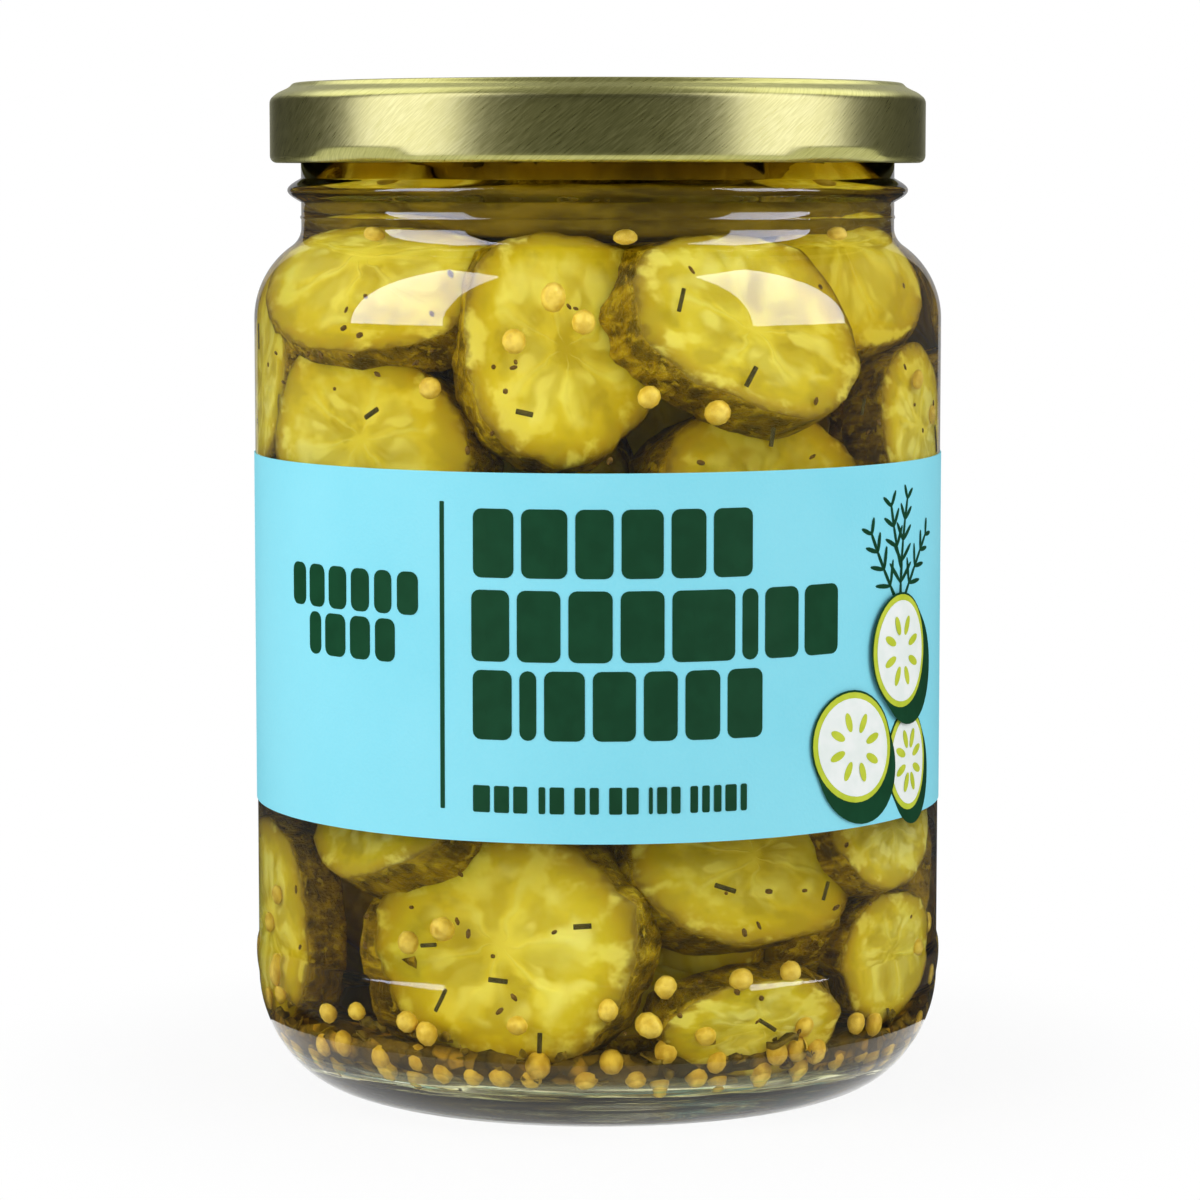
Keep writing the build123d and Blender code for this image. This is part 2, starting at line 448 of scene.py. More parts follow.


# %% [markdown]
# The slices against the wall are what one sees of the jar, so they are listed one by one, above
# the label and below it. The same arrangement, mirrored, fills the far side. Behind the label
# nothing can be seen, so nothing is there.

# %% Slices against the wall
by_hand = [
    # angle, height   wide, tall, thick   turn, nod, roll   depth
    ((-16.5, 21.5), (32, 27.5, 7.5), (-12, 0, 16), 0),
    ((-8.5, 90.3), (22, 27, 8), (16, 12, 16), 0),
    ((28.5, 92.5), (29, 21, 7.5), (8, 20, -20), 0),
    ((29.5, 30.5), (30, 21, 7.5), (8, 18, -4), 0),
    ((-49, 79.5), (30, 22, 7), (8, 10, -8), 0),
    ((-53, 96.3), (35, 17.5, 6.5), (8, 34, 2), 0),
    ((-80, 20.5), (20, 27, 7), (6, -4, 0), 0),
    ((66, 97), (24, 18, 6), (-16, 30, 22), 0),
    ((-43, 35), (24, 18, 8), (-16, 26, 4), 0),
    ((65, 18), (18, 15, 7), (-16, -4, 10), 0),
    ((63, 33), (20, 16, 7), (-6, 14, 0), 0),
    ((36, 72.5), (30, 23, 7), (6, 16, 0), 0),
    ((74, 80.5), (17, 19, 7), (-12, 8, 0), 0),
    ((29, 10.5), (22, 11.5, 6), (2, -14, 0), 0),
    ((-98, 86), (20, 24, 7), (8, 10, 0), 0),
    ((-37, 19), (24, 24, 10), (78, 0, 0), 1.5),
    ((52, 24), (22, 26, 10), (70, 6, 0), 2.5),
]
wall_slices = []
for (angle, height), size, (turn, nod, roll), depth in by_hand:
    for at, pose in ((angle, (turn, nod, roll)), (180 - angle, (-turn, nod, -roll))):
        wall_slices.append(set_slice(fine_blank, (at, height), size, pose, depth, slides=6))
slices = join("pickle_slices", wall_slices)
print(len(slices.data.vertices), "vertices in", len(wall_slices), "slices at the wall")

# %% [markdown]
# Behind them the jar is packed with more slices, seen only in glimpses through dark brine, so a
# plainer blank will do. Each is set a golden angle on from the last, which spreads them evenly. The
# middle of the jar is one lumpy mass, wider in the neck: the eye never gets that far, but without
# it the bright room behind would shine through the gaps. Its dark colour is painted shade, standing
# in for deep slices in shadow.

# %% Slices further in, and the mass in the middle
packed = []
neck_foot = rim_z - 18.0               # below this the jar is full
golden_angle, tries = 137.5, 64
for i in range(tries):
    height = 13 + 84 * (i + 0.5) / tries
    if 44 < height < 68:               # hidden by the label
        continue
    spot = (golden_angle * i + rng.uniform(-12, 12), height)
    size = (rng.uniform(24, 29), rng.uniform(22, 27), rng.uniform(5.5, 8))
    pose = (rng.uniform(-50, 50), rng.uniform(-50, 70), rng.uniform(0, 180))
    packed.append(set_slice(plain_blank, spot, size, pose, 1.0, 22, ceiling=neck_foot))
packed_slices = join("pickle_slices_packed", packed)

bulk = [(0, 7.5)] + [(17.5, 8 + 92 * i / 36) for i in range(37)]
bulk += [(22, 101.5), (26.5, 103), (28, 105), (28, 107), (28, 109), (27, 111), (20, 112), (0, 112)]
core = lathe("pickle_core", bulk, 64)
for v in core.data.vertices:
    x, y, z = v.co / mm
    swing = 0.16 if z < 100 else 0.07
    lump = 1 + swing * ripple(x / 9, y / 9, z / 7) + 0.06 * ripple(x / 3, y / 3, z / 3)
    v.co = Vector((x * lump, y * lump, z)) * mm
for blank in (fine_blank, plain_blank):
    bpy.data.objects.remove(blank)
print(len(packed), "slices packed behind them")

# %% [markdown]
# ## Mustard seeds, dill and specks
# Small things are scattered, and each kind is again modelled once. A mustard seed is a small ball
# a little longer than wide. Those seen at the front are listed one by one, and the rest are strewn
# with a seeded random draw, mostly along the foot of the wall, where they sink to. A seed that
# would lie in another one is left out.

# %% Scatter copies of one small shape


def scatter(name, model, places):
    """Copies a model to (position, turn matrix, scale) places, in millimetres, and joins them."""
    copies = []
    for where, turn, size in places:
        obj = bpy.data.objects.new(name, model.data.copy())
        bpy.context.scene.collection.objects.link(obj)
        fit = Matrix.Translation(where * mm) @ turn @ Matrix.Diagonal((*size, 1))
        obj.data.transform(fit)
        copies.append(obj)
    bpy.data.objects.remove(model)
    return join(name, copies)


def turned(angle, axis):
    """A rotation by an angle in radians."""
    return Matrix.Rotation(angle, 4, axis)


def any_turn():
    """A random rotation."""
    axis = Vector((rng.gauss(0, 1), rng.gauss(0, 1), rng.gauss(0, 1))).normalized()
    return turned(rng.uniform(0, 2 * pi), axis)


def at_wall(degrees_round, height, inwards):
    """A point this far inside the glass."""
    a = radians(degrees_round)
    r = room(height) - inwards
    return Vector((r * sin(a), -r * cos(a), height))


def upright_at(degrees_round, lean):
    """Axes for something that lies flat on the wall: X round the jar, Z out, turned by lean."""
    return turned(radians(degrees_round), "Z") @ turned(pi / 2, "X") @ turned(radians(lean), "Z")


# %% Mustard seeds
seed_model = fresh("seed", bpy.ops.mesh.primitive_ico_sphere_add, subdivisions=2, radius=mm)
bpy.ops.object.shade_smooth()
seen_seeds = [
    (5.5, 103.4), (-7.5, 96.7), (-2.3, 94.2), (-14, 92.1), (-50.7, 103.6), (-29.2, 86.6),
    (8.6, 85.8), (20.5, 83.9), (56.2, 103.6), (-34, 21.8), (-27.3, 23.8), (-53.4, 12),
    (-58.3, 8), (-42.3, 8), (-41.9, 6.8), (-29.2, 7), (-17.6, 6.8), (-10.6, 8.6), (-12, 6.9),
    (-2, 6.7), (6.9, 7), (8.7, 13.3), (11.5, 17.5), (18.2, 7), (25.1, 17.8), (34.8, 18.2),
    (31.1, 6.8), (33.2, 9), (37.5, 9.2), (42, 8.7), (39.4, 6.5), (72.2, 17.2),
]
seed_places = []
for angle, height in seen_seeds:       # degrees round from the front, and millimetres up
    r = rng.uniform(1.25, 1.5)
    spot = at_wall(angle, max(height, floor_z + 2.2), r + 0.15)
    seed_places.append((spot, any_turn(), (r, r, r * rng.uniform(1.0, 1.2))))
apart = 2.5
for i in range(260):
    r = rng.uniform(1.15, 1.4)
    low = rng.random() < 0.8
    height = floor_z + r + 0.4 + (rng.random() ** 2.2 * 9 if low else rng.uniform(8, 100))
    if 33 < height < 78:               # hidden by the label
        continue
    angle = rng.uniform(70, 290) if rng.random() < 0.75 else rng.uniform(-70, 70)
    if not low and -70 < angle < 70:
        continue
    spot = at_wall(angle, height, r + rng.uniform(0.15, 1.2))
    if min((spot - other[0]).length for other in seed_places) < apart:
        continue
    seed_places.append((spot, any_turn(), (r, r, r * rng.uniform(1.0, 1.2))))
seeds = scatter("mustard_seeds", seed_model, seed_places)
print(len(seed_places), "mustard seeds")

# %% Dill stalks and specks
tube = {"vertices": 6, "radius": 0.5 * mm, "depth": mm, "rotation": (0, pi / 2, 0)}
stalk_model = fresh("stalk", bpy.ops.mesh.primitive_cylinder_add, **tube)
bpy.ops.object.transform_apply(rotation=True)
edit(stalk_model, "FACE")
pick(stalk_model, "polygons", lambda face: abs(face.normal.x) > 0.5)
bpy.ops.mesh.inset(thickness=0.16 * mm)
leave()
seen_stalks = [
    (-2.5, 25, 4), (-16.7, 18.3, -4), (-9.7, 11.4, 88), (-29.3, 21.9, 8), (21.6, 29, -20),
    (41.5, 27.5, 70), (29.6, 12.6, -35), (-12, 84, -12), (30, 81, 80), (26, 88, 60),
    (-27, 15.5, 60), (-40.5, 83.5, 30), (14, 96.5, 75), (50, 84, 75),
]
stalk_places = []
for angle, height, lean in seen_stalks:
    size = (rng.uniform(1.8, 2.7), rng.uniform(0.48, 0.66), 0.5)
    stalk_places.append((at_wall(angle, height, 0.55), upright_at(angle, lean), size))
for i in range(60):
    angle, height = rng.uniform(80, 280), rng.choice((rng.uniform(7, 33), rng.uniform(78, 108)))
    size = (rng.uniform(1.8, 3.6), rng.uniform(0.55, 0.8), 0.6)
    stalk_places.append((at_wall(angle, height, 0.6), upright_at(angle, rng.uniform(0, 180)), size))
stalks = scatter("dill_stalks", stalk_model, stalk_places)

speck = {"subdivisions": 1, "radius": 0.5 * mm}
speck_model = fresh("speck", bpy.ops.mesh.primitive_ico_sphere_add, **speck)
bpy.ops.object.shade_smooth()
speck_places = []
for i in range(150):
    angle = rng.uniform(-85, 275)
    height = rng.choice((rng.uniform(8, 34), rng.uniform(78, 100)))
    size = (rng.uniform(0.5, 1.4), rng.uniform(0.4, 0.8), 0.4)
    spot = at_wall(angle, height, rng.uniform(0.3, 1.2))
    speck_places.append((spot, upright_at(angle, rng.uniform(0, 180)), size))
specks = scatter("spice_specks", speck_model, speck_places)

# %% [markdown]
# The spices sink, and lie on the floor as a drift of husks, crumbs and leaf. Its bulk is one lathed
# cushion that keeps a little clear of the glass, roughened all over, with the real seeds and flakes
# lying on it and against the glass.

# %% The drift on the floor
cushion = [(0, 8.0), (12, 8.0), (20, 8.3), (28, 8.8), (33, 9.3), (35.6, 9.6), (36.4, 8.9)]
cushion += [(35.7, 7.4), (34, 6.3), (31, 5.5), (20, 5.9), (10, 6.2), (0, 6.3)]
finer = [p for a, b in zip(cushion, cushion[1:]) for p in line(a, b, 3)[:-1]]
drift = lathe("spice_drift", finer + cushion[-1:], 128)
for v in drift.data.vertices:
    x, y, z = v.co / mm
    rough = ripple(x / 2.2, y / 2.2, z / 2) + 0.6 * ripple(x, y, z)
    if z > 7.6:                        # its top
        v.co.z += 0.9 * rough * mm
    if hypot(x, y) > 33:               # its outer edge
        v.co.xy *= 1 + 0.014 * rough

# %% [markdown]
# Dill leaf is a thin curled flake. It starts as a flat grid, which is narrowed to a leaf at both
# ends and rolled up along its length. Most of its copies lie in the drift of seeds at the foot, and
# the others float close under the surface.

# %% Dill leaf flakes
grid = {"x_subdivisions": 6, "y_subdivisions": 3, "size": 2 * mm}
leaf_model = fresh("leaf", bpy.ops.mesh.primitive_grid_add, **grid)
for v in leaf_model.data.vertices:
    x, y, z = v.co / mm
    width = 1 - x * x * 0.9
    v.co = Vector((x, y * width * (1 + 0.3 * sin(5 * x)), 0.5 * y * y + 0.35 * sin(2.5 * x))) * mm
thicken(leaf_model, 0.12)
bpy.ops.object.shade_smooth()


def laid(tilt):
    """A random turn about Z, of something that lies flat but for a random tilt."""
    return turned(rng.uniform(0, 2 * pi), "Z") @ turned(rng.gauss(0, tilt), "X")


leaf_places = []
for i in range(260):
    angle = rng.uniform(0, 360)
    height = floor_z + 1.0 + rng.random() ** 1.5 * 5
    size = (rng.uniform(0.9, 2.2), rng.uniform(0.4, 1.0), rng.uniform(0.7, 1.3))
    inwards = rng.uniform(0.9, 4.0) if height > 7 else rng.uniform(1.2, 6.0)
    leaf_places.append((at_wall(angle, height, inwards), laid(0.5), size))
for i in range(130):
    angle, height = rng.uniform(0, 360), fill_z - rng.uniform(0.7, 3.2)
    size = (rng.uniform(1.2, 2.8), rng.uniform(0.7, 1.6), rng.uniform(0.5, 1.0))
    lie = laid(0.25)
    leaf_places.append((at_wall(angle, height, rng.uniform(2.6, 12)), lie, size))
leaves = scatter("dill_leaves", leaf_model, leaf_places)
print(len(stalk_places), "stalks,", len(speck_places), "specks,", len(leaf_places), "flakes")

# %% [markdown]
# ## The lid
# The lid is pressed from thin sheet: a sunk panel with a slightly raised button, a channel that
# sits on the rim, a step down to the skirt, and a rolled foot. All of that is round, so its whole
# section, outside and inside of the sheet, is drawn once and spun. The four lugs are not round:
# there the press pushed the skirt's foot inwards, so its lowest vertices are moved in, which
# leaves the slanting crescent that shows on the outside.

# %% Spin the lid and press its lugs
sheet, press_r, curl_r = 0.35, 0.9, 0.85
lid_top, lid_foot, skirt_r = lid_high.z, lid_low.z, lid_high.x
panel_z = lid_top - 1.2
panel_r = mouth_r - 0.55
channel_r = neck_r + 0.9
button_r, button_h = 12.5, 0.7


def rounded(corners, radius, count):
    """A run of straight lines whose inner corners are rounded off."""
    points = [corners[0]]
    for before, corner, after in zip(corners, corners[1:], corners[2:]):
        c = Vector(corner)
        back, on = (Vector(before) - c), (Vector(after) - c)
        cut = min(radius, 0.45 * back.length, 0.45 * on.length)
        a, b = c + back.normalized() * cut, c + on.normalized() * cut
        for i in range(count + 1):
            t = i / count
            points.append(tuple(a * (1 - t) ** 2 + c * 2 * t * (1 - t) + b * t * t))
    return points + [corners[-1]]


button = [(button_r * i / 6, panel_z + button_h * (1 - (i / 6) ** 2)) for i in range(7)]
press = rounded(
    [
        (button_r, panel_z), (panel_r - 0.3, panel_z), (panel_r + 0.4, lid_top),
        (channel_r, lid_top), (channel_r + 0.5, lid_top - 0.55), (skirt_r - 0.85, lid_top - 1.25),
        (skirt_r, lid_top - 2.0), (skirt_r, lid_top - 4.0), (skirt_r, lid_foot + curl_r),
    ],
    press_r, 6,
)
skirt = line(press[-2], press[-1], 10)[1:]
curl = arc((skirt_r - curl_r, lid_foot + curl_r), curl_r, 0, -270, 16)[1:]
top_side = button + press[1:-1] + skirt + curl
hidden_side = [
    (skirt_r - sheet - 0.05, lid_foot + 2 * curl_r + 0.4), (skirt_r - sheet, lid_top - 3.2),
    (skirt_r - 1.2, lid_top - 1.8), (channel_r, lid_top - 1.1), (channel_r - 0.4, lid_top - sheet),
    (panel_r + 0.5, lid_top - sheet), (panel_r - 0.2, panel_z - sheet),
    (button_r, panel_z - sheet), (0, panel_z + button_h - sheet),
]
lid = lathe("twist_off_lid", top_side + hidden_side, 288)

dent_h, lug_half = 1.5, radians(12.5)
lug_every = pi / 2
for v in lid.data.vertices:
    x, y, z = v.co / mm
    r, low = hypot(x, y), lid_foot + dent_h - z
    if r > skirt_r - 2.2 * curl_r and low > -0.25:
        around = (atan2(y, x) + lug_every / 2) % lug_every
        off = min(around, lug_every - around)
        flat_r = skirt_r * cos(lug_half) / cos(min(off, lug_half))
        slant = max(0.0, min(1.0, low / dent_h + 0.1)) * (skirt_r - flat_r)
        v.co = Vector((x * (r - slant) / r, y * (r - slant) / r, z)) * mm
crease(lid)
print(f"lid {2 * skirt_r:.1f} mm across, {lid_top - lid_foot:.1f} mm high")

# %% [markdown]
# ## The label and its print
# The label is a band of paper, glued all round, with its end lapped over its start at the back. It
# is a spun section too. The lap is one strip of the same paper lying on top.
#
# Print is drawn flat, as a printer would, in millimetres along the label and up it, and then
# rolled round the jar. The words of a real label become plain rounded blocks in the same places
# and sizes, so that it keeps its rhythm without any lettering.

# %% The paper
paper, glue, cut = 0.12, 0.02, 0.02    # thickness, gap to the glass, and the edge's small bevel
paper_in, paper_out = body_r + glue, body_r + glue + paper
low_z, high_z = label_low.z, label_high.z
band = [(paper_in, low_z), (paper_in, high_z), (paper_out - cut, high_z)]
band += line((paper_out, high_z - cut), (paper_out, low_z + cut), 24)
band += [(paper_out - cut, low_z), (paper_in, low_z)]
label = lathe("label_paper", band, 192)
crease(label)


def rolled(out, thick):
    """Cuts the open drawing, in XZ, into strips, rolls it round the jar and gives it a body."""
    strip = 1.6
    obj = bpy.context.object
    leave()
    xs = [v.co.x / mm for v in obj.data.vertices]
    bpy.ops.object.mode_set(mode="EDIT")
    for i in range(int(min(xs) // strip) + 1, int(max(xs) // strip) + 1):
        every_part()
        bpy.ops.mesh.bisect(plane_co=(i * strip * mm, 0, 0), plane_no=(1, 0, 0))
    leave()
    for v in obj.data.vertices:
        a = v.co.x / mm / body_r
        v.co.xy = Vector((sin(a), -cos(a))) * (paper_out + out) * mm
    edit(obj, "FACE")
    bpy.ops.mesh.normals_make_consistent(inside=False)
    leave()
    if sum(f.center.xy.dot(f.normal.xy) for f in obj.data.polygons) < 0:
        edit(obj, "FACE")
        bpy.ops.mesh.flip_normals()
        leave()
    thicken(obj, thick)
    return obj


def drawn(name, shapes, add, **settings):
    """Opens a flat drawing of shapes, each one (x, z, width, height, turn in degrees)."""
    edit(fresh(name, bpy.ops.mesh.primitive_plane_add, size=mm))
    bpy.ops.mesh.delete(type="VERT")
    for x, z, wide, tall, turn in shapes:
        here = (x * mm, 0, z * mm)
        bpy.ops.mesh.select_all(action="DESELECT")
        add(rotation=(pi / 2, 0, 0), location=here, **settings)
        bpy.ops.transform.resize(value=(wide, 1, tall), center_override=here)
        if turn:
            bpy.ops.transform.rotate(value=radians(turn), orient_axis="Y", center_override=here)


def blocks(name, shapes, corner, out=0.05, thick=0.04):
    """Rounded rectangles, as one piece of print."""
    drawn(name, shapes, bpy.ops.mesh.primitive_plane_add, size=mm)
    every_part()
    bpy.ops.mesh.bevel(offset=corner * mm, segments=4, affect="VERTICES", clamp_overlap=True)
    return rolled(out, thick)


def discs(name, shapes, out, sides=40):
    """Filled ellipses, as one piece of print."""
    circle = {"vertices": sides, "radius": mm / 2, "fill_type": "NGON"}
    drawn(name, shapes, bpy.ops.mesh.primitive_circle_add, **circle)
    return rolled(out, 0.04)


def along(angle):
    """Distance round the jar from the middle of the front."""
    return radians(angle) * body_r


def row(left, right, low, high, shares, gap):
    """Blocks side by side from one angle to another, their widths by shares."""
    left, right = along(left), along(right)
    room_left = right - left - gap * (len(shares) - 1)
    made, x = [], left
    for share in shares:
        wide = room_left * share / sum(shares)
        made.append((x + wide / 2, (low + high) / 2, wide, high - low, 0))
        x += wide + gap
    return made


# %% Rule and blocks
heading = row(-19.7, 24.9, 65.3, 73.2, (10, 11, 9, 10, 8.5, 10), 0.9)
heading += row(-20, 41.4, 55.7, 63.9, (9, 10, 10, 10, 15, 4, 9, 10), 0.9)
heading += row(-19.8, 26.7, 46.7, 54.7, (9.5, 4, 9.5, 10, 8, 8.5, 9), 0.9)
small = []
for left, right, shares in (
    (-19.8, -11, (3, 2.6, 2.4)), (-9.2, -5.2, (1.2, 2.6)), (-3.6, 0.2, (2.4, 2)),
    (1.8, 6.4, (3, 2.8)), (8, 13, (1, 2.6, 2.4)), (14.6, 24, (2.6, 2.6, 2.6, 4, 2.2)),
):
    small += row(left, right, 38.3, 41.4, shares, 0.5)
maker = row(-58.4, -29.3, 60.6, 65.6, (5, 5.2, 5.4, 5, 4.4, 5), 0.8)
maker += row(-53.4, -33.7, 55.0, 60.0, (3.2, 5, 4.4, 4), 0.8)
rule = [(along(-25), 56.2, 0.55, 35.4, 0)]
printed = []                           # every piece of print, with its ink
for name, shapes, corner in (
    ("heading", heading, 1.1), ("small", small, 0.4), ("maker", maker, 1.0), ("rule", rule, 0.1),
):
    printed.append((blocks(f"print_{name}", shapes, corner), "green"))
lap_w = 8.0
lap = [(along(180), (low_z + high_z) / 2, lap_w, high_z - low_z, 0)]
lap = blocks("label_lap", lap, 0.05, 0.1, paper)

# %% [markdown]
# The drawing at the right is three cut slices and a sprig, of the plainest kind: discs on discs.
# Each layer of ink lies a hair above the last, as in screen printing.

# %% Ink discs and strokes
cut_faces = [
    # angle, height, wide, tall, lean, and how far the rind shows to the side and down
    (61.3, 41.6, 10.5, 12.5, 12, (1.2, -1.6)),
    (45.2, 44.4, 14.5, 13.0, -38, (1.1, -2.4)),
    (57.4, 55.0, 12.5, 14.0, 10, (2.0, -2.0)),
]
for layer, (angle, height, wide, tall, lean, (dx, dz)) in enumerate(cut_faces):
    x, base = along(angle), 0.05 + 0.24 * layer
    rind = [(x + dx * k / 5, height + dz * k / 5, wide, tall, lean) for k in range(6)]
    edge = [(x, height, wide - 0.5, tall - 0.5, lean)]
    face = [(x, height, wide - 1.9, tall - 1.9, lean)]
    pips = []
    for k in range(8):
        a = 2 * pi * k / 8 + 0.2
        ring = Vector((cos(a) * (wide - 2) * 0.27, sin(a) * (tall - 2) * 0.27))
        ring.rotate(Matrix.Rotation(radians(lean), 2))
        pips.append((x + ring.x, height + ring.y, 1.0, 2.4, lean + a * 180 / pi - 90))
    for kind, shapes, lift, ink, sides in (
        ("rind", rind, 0.0, "green", 40), ("edge", edge, 0.05, "lime", 40),
        ("face", face, 0.1, "white", 40), ("pips", pips, 0.15, "lime", 16),
    ):
        printed.append((discs(f"print_{kind}_{layer}", shapes, base + lift, sides), ink))


def towards(angle):
    """A step of 1 at an angle from straight up."""
    return Vector((sin(radians(angle)), cos(radians(angle))))


def sprig(foot_angle, foot, steps, lean, length):
    """Strokes of a dill sprig: a stem that leans over, and paired needles along it."""
    strokes, (x, z) = [], (along(foot_angle), foot)
    for k in range(steps):
        up = towards(lean)
        strokes.append((x + up.x * 1.3, z + up.y * 1.3, 0.5, 3.4, -lean))
        x, z = x + up.x * 2.5, z + up.y * 2.5
        for hand in (-1, 1):
            needle = lean + hand * (48 - 3 * k)
            long = length * (1 - 0.12 * k)
            tip = towards(needle) * long / 2
            strokes.append((x + tip.x, z + tip.y, 0.55, long, -needle))
        lean += 3
    return strokes


strokes = sprig(58, 60.5, 5, 2, 3.6) + sprig(57, 60.8, 4, -38, 3.2)
strokes += sprig(59, 60.8, 4, 38, 3.2) + sprig(58, 65, 3, -20, 2.8)
printed.append((discs("print_sprig", strokes, 0.06, 12), "green"))
print(len(heading) + len(small) + len(maker), "blocks,", len(printed), "pieces of print")

# %% [markdown]
# ## Finishes
# Each material is a tree of nodes around one Principled BSDF. As with meshes, one tree is open at
# a time, and the helpers below add to it. `node` adds any node and feeds its inputs. What a node
# gives is kept as a `Value`, and a sum with values adds the node that does it, so that a pattern
# can be written as a plain sum. Patterns are measured in Object coordinates, which are metres here
# because every piece sits at the origin.

# %% Helpers for materials


def colour(red, green, blue):
    """A colour as picked on screen, from 0 to 255, in Blender's linear values."""
    shares = [c / 255 for c in (red, green, blue)]
    return (*[s / 12.92 if s < 0.04045 else ((s + 0.055) / 1.055) ** 2.4 for s in shares], 1.0)


def open_tree(new_tree):
    """Helpers add their nodes to this tree from here on."""
    global tree
    tree = new_tree


class Value:
    """An output of a node: a number, a vector or a colour."""

    def __init__(self, socket):
        self.socket = socket

    def sum(self, operation, other):
        """One sum, with the node for numbers or the one for vectors."""
        number = self.socket.type == "VALUE"
        return (calc if number else vector)(operation, self, other)

    def __add__(self, other):
        return self.sum("ADD", other)

    def __sub__(self, other):
        return self.sum("SUBTRACT", other)

    def __mul__(self, other):
        return self.sum("MULTIPLY", other)


def feed(made, inputs):
    """Gives each input of a node a plain value, or the output that feeds it."""
    for name, value in inputs.items():
        if isinstance(value, Value):
            tree.links.new(value.socket, made.inputs[name])
        else:
            made.inputs[name].default_value = value


def node(kind, inputs=None, out=0, **settings):
    """Adds a node, sets it up, feeds its inputs and gives one of its outputs."""
    made = tree.nodes.new(kind)
    for name, value in settings.items():
        setattr(made, name, value)
    feed(made, inputs or {})
    return Value(made.outputs[out])


def parts(value):
    """All outputs of the node that a value comes from."""
    return {socket.name: Value(socket) for socket in value.socket.node.outputs}


def object_place():
    """Object coordinates."""
    return node("ShaderNodeTexCoord", out="Object")


def calc(operation, a, b=0.0):
    """One sum with numbers."""
    return node("ShaderNodeMath", {0: a, 1: b}, operation=operation)


def vector(operation, a, b=None):
    """One sum with vectors. To scale, b is a plain number."""
    second = {} if b is None else {"Scale" if operation == "SCALE" else 1: b}
    out = "Value" if operation == "LENGTH" else "Vector"
    return node("ShaderNodeVectorMath", {0: a, **second}, out, operation=operation)


def noise_at(place, detail, scale=1.0, out=0, **more):
    """Smooth noise."""
    inputs = {"Vector": place, "Scale": scale, "Detail": detail, **more}
    return node("ShaderNodeTexNoise", inputs, out)


def on_tube(flat, girth, along):
    """Directions from the middle as points on a tube, where a pattern has no seam."""
    ray = vector("SCALE", vector("NORMALIZE", flat), girth)
    return ray + node("ShaderNodeCombineXYZ", {"Z": along})


def fade(value, start, end, low=0.0, high=1.0):
    """Turns start..end smoothly into low..high."""
    inputs = {"Value": value, "From Min": start, "From Max": end, "To Min": low, "To Max": high}
    return node("ShaderNodeMapRange", inputs, interpolation_type="SMOOTHSTEP")


def within(value, rise, fall):
    """1 inside a range, with a soft start and a soft end."""
    return fade(value, *rise) * fade(value, *fall)


def blend(share, a, b):
    """Mixes colour b into colour a. Three numbers are a colour as picked on screen."""
    a, b = (colour(*c) if isinstance(c, tuple) and len(c) == 3 else c for c in (a, b))
    return node("ShaderNodeMix", {0: share, 6: a, 7: b}, 2, data_type="RGBA")


def ramp(value, *stops):
    """A colour ramp with stops of (place, red, green, blue)."""
    made = node("ShaderNodeValToRGB", {"Fac": value})
    elements = made.socket.node.color_ramp.elements
    while len(elements) < len(stops):
        elements.new(1.0)
    for element, (place, *shade) in zip(elements, stops):
        element.position, element.color = place, colour(*shade)
    return made


def bump(height, strength, distance):
    """Turns a height into a normal. The distance is in metres."""
    return node("ShaderNodeBump", {"Height": height, "Strength": strength, "Distance": distance})


def end_in(way, value):
    """Sends a value to the tree's Surface or Volume."""
    feed(tree.nodes["Material Output"], {way: value})


def finish(name):
    """A new material, its tree opened, with its Principled BSDF."""
    material = bpy.data.materials.new(name)
    material.use_nodes = True
    open_tree(material.node_tree)
    return material, tree.nodes["Principled BSDF"]


def wear(piece, *materials):
    """Gives a piece its materials."""
    piece.data.materials.clear()
    for material in materials:
        piece.data.materials.append(material)


# %% [markdown]
# Hardly anything on this jar is one even colour, so nearly every finish uses the same effect: a
# soft mottle. It is built once, as a node group with a scale, a seed and the range it fades over.

# %% The mottle, a shared effect
mottle_group = bpy.data.node_groups.new("soft_mottle", "ShaderNodeTree")
open_tree(mottle_group)
for name, default in (("Scale", 200.0), ("Seed", 0.0), ("From", 0.35), ("To", 0.65)):
    socket = mottle_group.interface.new_socket(name, in_out="INPUT", socket_type="NodeSocketFloat")
    socket.default_value = default
mottle_group.interface.new_socket("Mask", in_out="OUTPUT", socket_type="NodeSocketFloat")
wants = parts(node("NodeGroupInput"))
grain = noise_at(object_place() + wants["Seed"], 3.0, wants["Scale"])
mask = fade(grain, wants["From"], wants["To"])
feed(mottle_group.nodes.new("NodeGroupOutput"), {"Mask": mask})


def mottle(scale, seed=0.0, start=0.35, end=0.65):
    """Places the mottle in a material, with its own values, and gives its mask."""
    inputs = {"Scale": scale, "Seed": seed, "From": start, "To": end}
    return node("ShaderNodeGroup", inputs, "Mask", node_tree=mottle_group)


# %% [markdown]
# ### Glass and brine
# Glass is a Principled BSDF with full transmission. Cycles would treat the shadow of clear glass
# as if it were opaque, so shadow rays are let through by mixing in a Transparent BSDF, switched by
# the Light Path node. The brine works the same way, with water's refraction, and absorbs blue
# light over distance, which is what makes deep places in the jar darker and browner than near ones.
#
# The thick glass of the foot has painted streaks, pale and dark, in its tint, which stand in for
# the contents drawn out by it and for reflections; its bumps bend light as well. The glass round
# the heel and the mouth has painted shade in its tint, brownish under the lid and a warm dimming at
# the heel. All of that goes by height.

# %% Glass and brine finishes
around_axis = (1, 1, 0)                # multiplied with this, a place loses its height


def clear(name, dark, pale, ior):
    """A see-through material that does not block lamp light."""
    material, skin = finish(name)
    tint = blend(mottle(25.0, 3.0), dark, pale)
    feed(skin, {"Transmission Weight": 1.0, "IOR": ior, "Roughness": 0.0, "Base Color": tint})
    shadow = node("ShaderNodeLightPath", out="Is Shadow Ray")
    mixed = {0: shadow, 1: Value(skin.outputs[0]), 2: node("ShaderNodeBsdfTransparent")}
    end_in("Surface", node("ShaderNodeMixShader", mixed))
    return material, skin, tint


